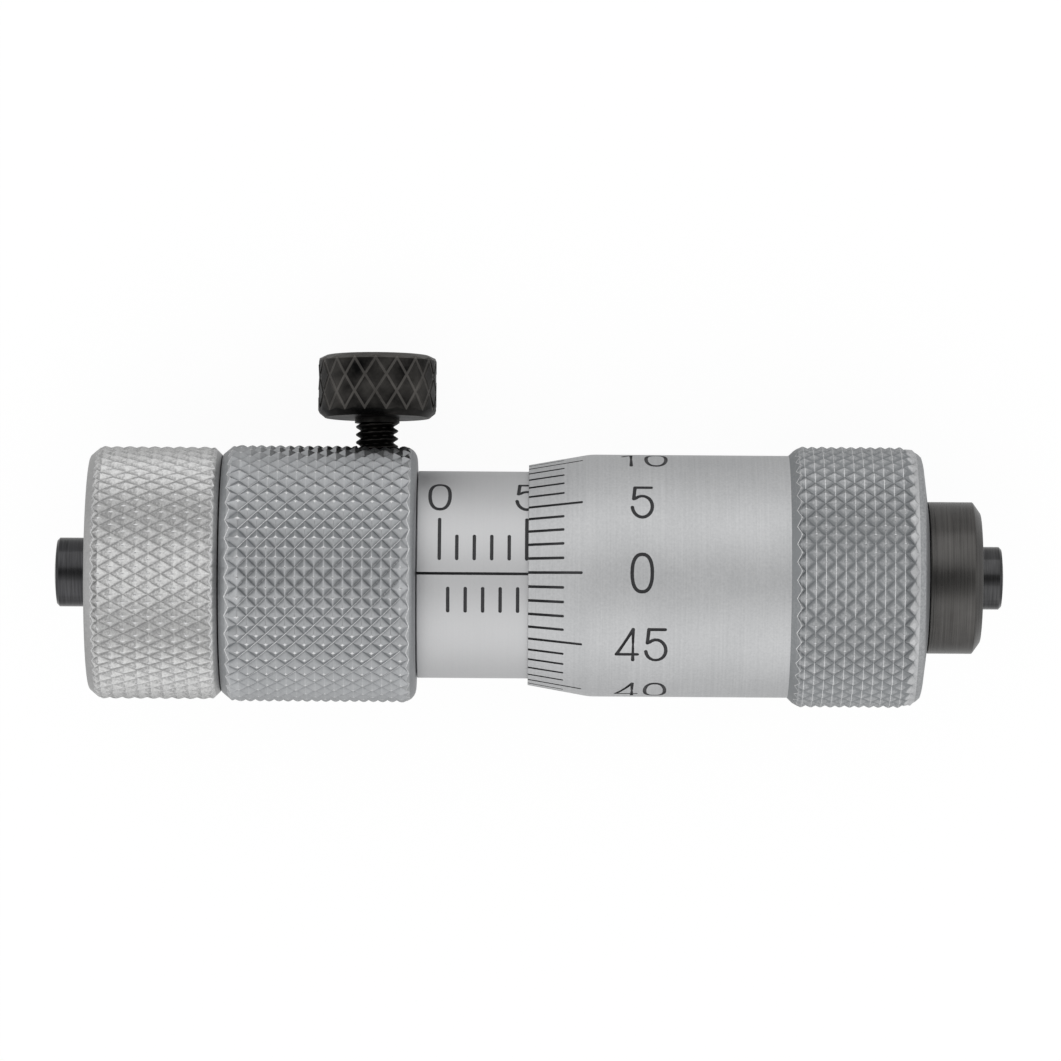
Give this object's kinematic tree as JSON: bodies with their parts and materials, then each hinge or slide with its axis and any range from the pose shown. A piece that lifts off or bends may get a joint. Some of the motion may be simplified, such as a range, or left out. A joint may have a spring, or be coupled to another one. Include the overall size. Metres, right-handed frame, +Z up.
{
  "type": "inside micrometer",
  "caption": "Tubular inside micrometer: a knurled measuring head with graduated sleeve and thimble, and a short domed measuring rod held in its collar by a clamp screw.",
  "frame": {"origin": "bottom centre of the bounding box, on the table it rests on", "axes": "+X along the spindle from the rod to the thimble, +Z up, +Y to the clamp screw's side"},
  "size_m": [0.055, 0.0206, 0.0151],
  "materials": {
    "satin_chrome": "satin chrome plate on steel",
    "knurled_chrome": "satin chrome plate on knurled steel",
    "black_oxide": "black oxide on steel",
    "dark_steel": "turned and darkened steel",
    "ground_steel": "hardened and ground steel",
    "spindle_steel": "ground steel",
    "brass": "turned brass"
  },
  "bodies": {
    "head": {"clamp_body": "knurled_chrome", "adjusting_nut": "spindle_steel"},
    "sleeve": {"graduated_sleeve": "satin_chrome"},
    "contact": {"spindle_contact": "ground_steel"},
    "thimble_unit": {"spindle": "spindle_steel", "thimble": "satin_chrome", "thimble_cap": "dark_steel"},
    "pad": {"clamp_pad": "brass"},
    "screw": {"clamp_screw": "black_oxide"},
    "rod": {"rod_shank": "ground_steel", "rod_collar": "knurled_chrome", "rod_contact": "ground_steel"}
  },
  "joints": [
    {"name": "sleeve_zero_set", "type": "hinge", "parent": "head", "child": "sleeve", "pos_m": [0, -0.00271, 0.00755], "axis": [1, 0, 0], "range_deg": [-10, 10]},
    {"name": "spindle_travel", "type": "slide", "parent": "head", "child": "contact", "axis": [1, 0, 0], "range_m": [-0.005, 0.008]},
    {"name": "thimble_turn", "type": "hinge", "parent": "contact", "child": "thimble_unit", "pos_m": [0, -0.00271, 0.00755], "axis": [1, 0, 0], "range_deg": [-3600, 5760]},
    {"name": "clamp_pad_travel", "type": "slide", "parent": "head", "child": "pad", "axis": [0, 0.9356, -0.353], "range_m": [0, 0.0027]},
    {"name": "clamp_screw_turn", "type": "hinge", "parent": "pad", "child": "screw", "pos_m": [-0.00888, -0.00271, 0.00755], "axis": [0, 0.9356, -0.353], "range_deg": [0, 2160]},
    {"name": "rod_pull", "type": "slide", "parent": "head", "child": "rod", "axis": [-1, 0, 0], "range_m": [0, 0.012]}
  ],
  "couplings": [
    {"joint": "thimble_turn", "follows": "spindle_travel", "rad_per_m": 12566},
    {"joint": "clamp_screw_turn", "follows": "clamp_pad_travel", "rad_per_m": 13963}
  ]
}
